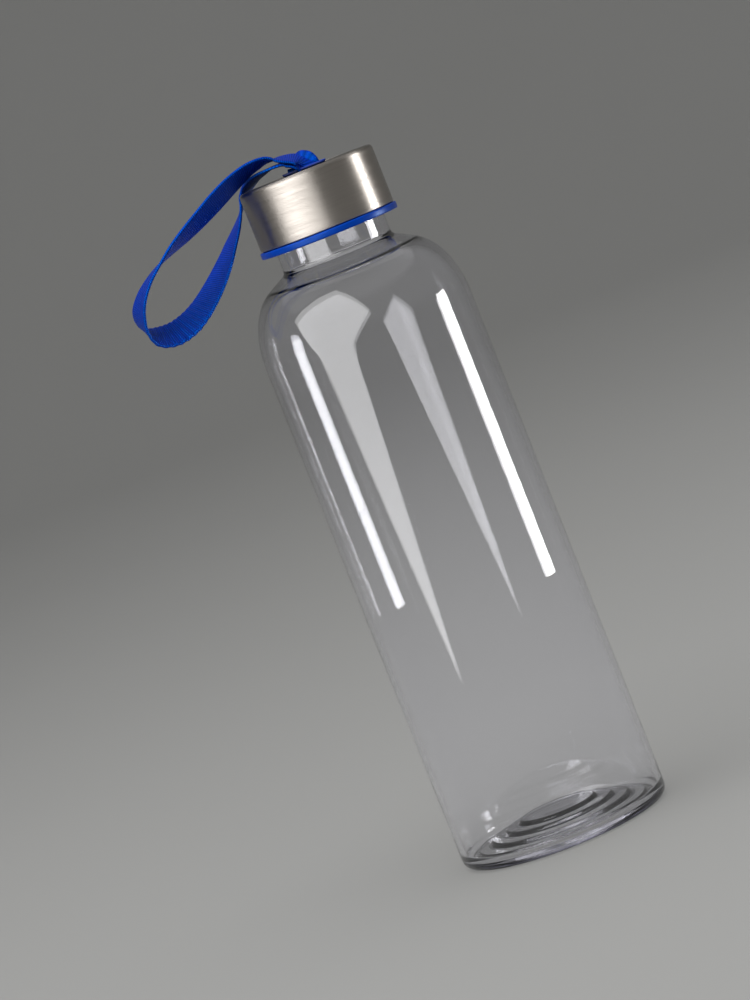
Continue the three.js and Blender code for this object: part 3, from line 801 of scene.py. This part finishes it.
# The webbing's middle line above the cap, in millimetres from the middle of the cap's top face:
# place x, y, z, then the direction across the webbing.
ROOT_ROUTE = (
    (0.0, 0.0, 0.0, 1.0, 0.0, 0.0),
    (0.0, 0.0, 0.8, 1.0, 0.0, 0.0),
    (-0.2, -0.1, 1.8, 0.85, 0.5, 0.0),
    (-0.9, -0.2, 2.8, 0.45, 0.88, 0.1),
    (-2.6, -0.1, 3.8, 0.15, 0.97, 0.2),
    (-5.0, 0.0, 4.6, 0.08, 0.99, 0.15),
)
LOOP_ROUTE = (
    (-6.8, 0.0, 5.8, 0.0, 1.0, 0.08),
    (-8.4, 0.0, 6.3, 0.0, 1.0, -0.06),
    (-11.4, -0.5, 6.7, 0.0, 0.97, -0.24),
    (-15.9, -1.2, 6.1, 0.1, 0.93, -0.34),
    (-21.6, -2.1, 4.1, 0.18, 0.88, -0.43),
    (-27.5, -2.9, 1.4, 0.22, 0.86, -0.46),
    (-33.5, -3.5, -1.6, 0.2, 0.88, -0.42),
    (-39.7, -4.0, -4.6, 0.16, 0.93, -0.34),
    (-45.5, -4.2, -7.4, 0.1, 0.98, -0.18),
    (-50.6, -4.2, -10.3, 0.0, 1.0, 0.0),
    (-55.2, -3.9, -13.5, -0.09, 0.99, 0.1),
    (-59.3, -3.4, -17.5, -0.24, 0.96, 0.14),
    (-62.0, -2.6, -22.0, -0.34, 0.93, 0.12),
    (-62.4, -1.4, -26.6, -0.2, 0.96, 0.2),
    (-59.8, 0.0, -30.2, 0.0, 0.84, 0.52),
    (-55.0, 1.6, -31.4, 0.0, 0.74, 0.66),
    (-49.8, 3.1, -30.4, -0.16, 0.72, 0.67),
    (-45.0, 4.6, -28.0, -0.26, 0.76, 0.58),
    (-40.6, 6.0, -24.8, -0.3, 0.8, 0.5),
    (-36.4, 7.4, -21.1, -0.3, 0.85, 0.42),
    (-32.4, 8.8, -17.0, -0.26, 0.9, 0.32),
    (-28.8, 10.2, -12.8, -0.2, 0.95, 0.2),
    (-25.4, 11.8, -8.8, -0.1, 0.99, 0.1),
    (-22.5, 12.8, -5.0, 0.04, 1.0, 0.02),
    (-19.9, 12.6, -1.3, 0.2, 0.97, -0.05),
    (-17.0, 10.2, 1.4, 0.4, 0.9, 0.0),
    (-14.3, 6.2, 3.0, 0.55, 0.83, 0.0),
    (-12.0, 2.8, 3.8, 0.5, 0.87, 0.0),
    (-9.9, 1.0, 4.0, 0.3, 0.95, 0.0),
    (-8.2, 0.2, 4.0, 0.1, 0.99, 0.0),
    (-6.8, 0.0, 3.95, 0.0, 1.0, 0.0),
)


def catmull(points, steps):
    """A smooth open line of vectors through points, with steps between each two."""
    result = []
    for i in range(len(points) - 1):
        p1, p2 = points[i], points[i + 1]
        p0 = points[i - 1] if i else 2 * p1 - p2
        p3 = points[i + 2] if i + 2 < len(points) else 2 * p2 - p1
        for k in range(steps):
            t = k / steps
            result.append(0.5 * (2 * p1 + (p2 - p0) * t + (2 * p0 - 5 * p1 + 4 * p2 - p3) * t * t
                                 + (3 * p1 - p0 - 3 * p2 + p3) * t ** 3))
    return result + [points[-1]]


def frames_of(middle, across):
    """For each point: itself, the direction across and the direction of the thickness."""
    frames = []
    for i, (point, wide) in enumerate(zip(middle, across)):
        along = (middle[min(i + 1, len(middle) - 1)] - middle[max(i - 1, 0)]).normalized()
        wide = (wide - along * wide.dot(along)).normalized()
        frames.append((point, wide, along.cross(wide)))
    return frames


def frames_above(route, top, steps=8):
    """Frames along one of the routes, above the level top."""
    middle = catmull([Vector(row[:3]) for row in route], steps)
    across = catmull([Vector(row[3:]) for row in route], steps)
    lift = Vector((0, 0, top))
    return [(point * MM + lift, wide, up) for point, wide, up in frames_of(middle, across)]


class BOTTLE_OT_strap(bpy.types.Operator):
    """Make the webbing: round the pin, up through the slot, out into the loop and back"""

    bl_idname = "bottle.strap"
    bl_label = "Carry loop"

    def execute(self, context):
        scene = context.scene
        strap, cap = scene.strap_sizes, scene.cap_sizes
        line = self.line(strap, cap)
        frames = self.even(line, strap.rib_pitch / 4)
        piece = self.ribbon(frames, strap)
        finish_piece(piece, woven(scene.bottle_finishes, strap), None, "webbing",
                     "strap_root", "strap_loop")
        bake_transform(piece)
        return {"FINISHED"}

    def line(self, strap, cap):
        """The whole route as places, directions across and directions of the thickness."""
        level = (PIN_LOW.z + PIN_HIGH.z) / 2
        offset = (strap.thickness + cap.gap) / 2
        bend = (PIN_HIGH.z - PIN_LOW.z) / 2 + cap.gap + strap.thickness / 2
        across, thickness = Vector((1, 0, 0)), Vector((0, -1, 0))
        root = frames_above(ROOT_ROUTE, CAP_HIGH.z)[1:]
        loop = frames_above(LOOP_ROUTE, CAP_HIGH.z)

        def side(sign):
            """From under the pin, up one side of it and into the bush."""
            turn = [math.radians(degrees) for degrees in range(4, 95, 6)]
            points = [(math.sin(a) * bend * sign, level - math.cos(a) * bend) for a in turn]
            points += [(sign * (offset + 0.25 * MM), BUSH_LOW.z - 0.3 * MM),
                       (sign * offset, BUSH_LOW.z + 0.6 * MM)]
            return [(Vector((0, y, z)), across, thickness) for y, z in points]

        def back(frames):
            return [(place, wide, -up) for place, wide, up in reversed(frames)]

        upper = [(place - up * offset, wide, up) for place, wide, up in root]
        lower = [(place + up * offset, wide, up) for place, wide, up in root]
        sign = -1 if upper[0][0].y < 0 else 1
        return side(sign) + upper + loop + back(lower) + back(side(-sign))

    def even(self, line, step):
        """The route again, in even steps on one smooth line, with directions square to it."""
        lengths = [0.0]
        for (a, _, _), (b, _, _) in zip(line, line[1:]):
            lengths.append(lengths[-1] + (b - a).length)
        count = int(lengths[-1] / step)
        places, wides = [], []
        j = 0
        for i in range(count + 1):
            want = lengths[-1] * i / count
            while j < len(lengths) - 2 and lengths[j + 1] < want:
                j += 1
            span = lengths[j + 1] - lengths[j]
            t = (want - lengths[j]) / span if span > 1e-9 else 0.0
            places.append(line[j][0].lerp(line[j + 1][0], t))
            wides.append(line[j][1].lerp(line[j + 1][1], t))
        return frames_of(self.smooth(places), self.smooth(wides))

    def smooth(self, vectors, passes=6):
        """The same row of vectors with each drawn towards its neighbours."""
        for _ in range(passes):
            inner = [(a + b * 2 + c) / 4 for a, b, c in zip(vectors, vectors[1:], vectors[2:])]
            vectors = [vectors[0]] + inner + [vectors[-1]]
        return vectors

    def section(self, flats=16):
        """The outline across the webbing, in halves of its width and its thickness."""
        face = [0.94 * (2 * i / flats - 1) for i in range(flats + 1)]
        selvedge = [(0.98, 0.72), (1.0, 0.0), (0.98, -0.72)]
        front = [(x, 1.0) for x in face] + selvedge
        return front + [(-x, -y) for x, y in front]

    def ribbon(self, frames, strap):
        """Webbing along frames: flat faces with a rib across each pick, and rounded selvedges."""
        half, thick = strap.width / 2, strap.thickness / 2
        face_share = 0.86  # share of the thickness left under the ribs
        rib_rise, edge_rise, fray_size, fray_rate = 0.035 * MM, 0.09 * MM, 0.06 * MM, 900.0
        section = self.section()
        step = strap.rib_pitch / 4
        length = step * (len(frames) - 1)

        def creased(share, middle=0.545, reach=0.085):
            """How far the webbing is creased across itself, at a share of its length."""
            return max(0.0, 1.0 - abs(share - middle) / reach)

        rows, places = [], []
        for i, (point, wide, up) in enumerate(frames):
            along = i * step
            rib = abs(math.sin(math.pi * along / strap.rib_pitch)) - 0.5
            fray = fray_size * noise.noise((along * fray_rate, 0.3, 0.7))
            crease = (creased(along / length) * strap.crease_depth
                      * math.sin(TURN * along / strap.crease_pitch))
            row = []
            for x, y in section:
                edge = edge_rise * rib + fray if abs(x) > 0.9 else 0.0
                sideways = x * half + math.copysign(edge, x)
                rise = y * (thick * face_share + rib_rise * rib) + crease
                row.append(point + wide * sideways + up * rise)
                places.append((along / MM, sideways / MM))
            rows.append(row)
        opposite = len(section) // 2
        start, end = ([row[0].lerp(row[opposite], 0.5)] for row in (rows[0], rows[-1]))
        piece = skin("webbing_loop", [start, *rows, end])
        places = [(0.0, 0.0), *places, (0.0, 0.0)]
        weave = piece.data.uv_layers.new(name="weave")
        for corner in piece.data.loops:
            weave.data[corner.index].uv = places[corner.vertex_index]
        return piece


# The studio: places and sizes in metres, angles in degrees.
CAMERA_PLACE = (-0.017, -1.28, 0.235)
CAMERA_AIM = (-0.017, 0.0, 0.115)
CAMERA_ROLL = -21.7
CAMERA_LENS, CAMERA_SENSOR = 153.7, 36.0  # in millimetres
FLOOR_FLAT, FLOOR_SWEEP, FLOOR_HEIGHT = 2.2, 1.6, 3.2
WORLD_GREY, WORLD_STRENGTH = 0.5, 0.80
STRIP_BOX = dict(azimuth=91, distance=0.60, middle=0.112, width=0.15, height=0.215, glow=20.0)
KEY_BOX = dict(azimuth=-37, distance=0.42, middle=0.436, width=0.62, height=0.62, glow=3.8, roll=37)
OVERHEAD_PLACE = (-0.35, -0.45, 1.5)
OVERHEAD_AIM = (0.0, 0.0, 0.1)
OVERHEAD_SIZE, OVERHEAD_POWER = 1.2, 14.0


def facing(place, aim):
    """The placing of a lamp or camera at place that points at aim."""
    turn = (Vector(aim) - Vector(place)).to_track_quat("-Z", "Y")
    return Matrix.Translation(place) @ turn.to_matrix().to_4x4()


def rolled(degrees):
    return Matrix.Rotation(math.radians(degrees), 4, "Z")


class BOTTLE_OT_studio(bpy.types.Operator):
    """Make the floor, the lights, the world and the camera"""

    bl_idname = "bottle.studio"
    bl_label = "Studio"

    def execute(self, context):
        scene = context.scene
        scene.view_settings.view_transform = "Standard"
        scene.cycles.caustics_refractive = scene.cycles.caustics_reflective = False
        self.camera(scene)
        self.floor(scene)
        self.lights(scene)
        return {"FINISHED"}

    def camera(self, scene):
        data = bpy.data.cameras.new("camera")
        data.sensor_width, data.lens = CAMERA_SENSOR, CAMERA_LENS
        camera = bpy.data.objects.new("camera", data)
        scene.collection.objects.link(camera)
        camera.matrix_world = facing(CAMERA_PLACE, CAMERA_AIM) @ rolled(CAMERA_ROLL)
        scene.camera = camera

    def floor(self, scene):
        flat_steps = 6
        profile = [(FLOOR_FLAT * i / flat_steps, 0.0) for i in range(flat_steps + 1)]
        profile += arc((FLOOR_FLAT, FLOOR_SWEEP), FLOOR_SWEEP, -90, 0, 24)[1:]
        profile += [(FLOOR_FLAT + FLOOR_SWEEP, FLOOR_HEIGHT)]
        floor = skin("studio_floor", turned_rows(profile))
        for polygon in floor.data.polygons:
            polygon.flip()
        floor.data.materials.append(studio_paper(scene.bottle_finishes))

    def lights(self, scene):
        world = bpy.data.worlds.new("studio_world")
        world.use_nodes = True
        background = world.node_tree.nodes["Background"]
        background.inputs["Color"].default_value = (WORLD_GREY, WORLD_GREY, WORLD_GREY, 1.0)
        background.inputs["Strength"].default_value = WORLD_STRENGTH
        scene.world = world
        self.softbox(scene, "strip_box", **STRIP_BOX)
        self.softbox(scene, "key_box", **KEY_BOX)
        self.overhead(scene)

    def softbox(self, scene, name, azimuth, distance, middle, width, height, glow, roll=0.0):
        """An upright softbox facing the bottle, seen only in what is glossy or through what is
        clear. Azimuth 0 is in front and 90 at the right; roll turns it about its own middle;
        glow is its brightness in a mirror."""
        data = bpy.data.lights.new(name, "AREA")
        data.shape = "RECTANGLE"
        data.size, data.size_y = width, height
        data.energy = glow * math.pi * width * height
        lamp = bpy.data.objects.new(name, data)
        scene.collection.objects.link(lamp)
        turn = math.radians(azimuth)
        place = (math.sin(turn) * distance, -math.cos(turn) * distance, middle)
        lamp.matrix_world = facing(place, (0.0, 0.0, middle)) @ rolled(roll)
        lamp.visible_camera = lamp.visible_diffuse = False

    def overhead(self, scene):
        """A broad lamp above, which lights what is matt and isn't seen in anything."""
        data = bpy.data.lights.new("overhead", "AREA")
        data.shape = "SQUARE"
        data.size, data.energy = OVERHEAD_SIZE, OVERHEAD_POWER
        lamp = bpy.data.objects.new("overhead", data)
        scene.collection.objects.link(lamp)
        lamp.matrix_world = facing(OVERHEAD_PLACE, OVERHEAD_AIM)
        lamp.visible_camera = lamp.visible_transmission = lamp.visible_glossy = False


class BOTTLE_PT_panel(bpy.types.Panel):
    """Lists the steps that build the bottle"""

    bl_idname = "BOTTLE_PT_panel"
    bl_label = "Bottle"
    bl_space_type = "VIEW_3D"
    bl_region_type = "UI"
    bl_category = "Bottle"

    def draw(self, context):
        for operator in STEPS:
            self.layout.operator(operator.bl_idname)
        for name, group in GROUPS.items():
            box = self.layout.box()
            box.label(text=group.__doc__)
            for key in group.__annotations__:
                box.prop(getattr(context.scene, name), key)


STEPS = (BOTTLE_OT_studio, BOTTLE_OT_strap, BOTTLE_OT_body, BOTTLE_OT_cap, BOTTLE_OT_inside)
CLASSES = (*GROUPS.values(), *STEPS, BOTTLE_PT_panel)


def register():
    for cls in CLASSES:
        bpy.utils.register_class(cls)
    for name, group in GROUPS.items():
        setattr(bpy.types.Scene, name, bpy.props.PointerProperty(type=group))


def unregister():
    for name in GROUPS:
        delattr(bpy.types.Scene, name)
    for cls in reversed(CLASSES):
        bpy.utils.unregister_class(cls)


def main():
    register()
    bpy.ops.bottle.studio()
    bpy.ops.bottle.strap()
    bpy.ops.bottle.body()
    bpy.ops.bottle.cap()
    bpy.ops.bottle.inside()


if __name__ == "__main__":
    main()
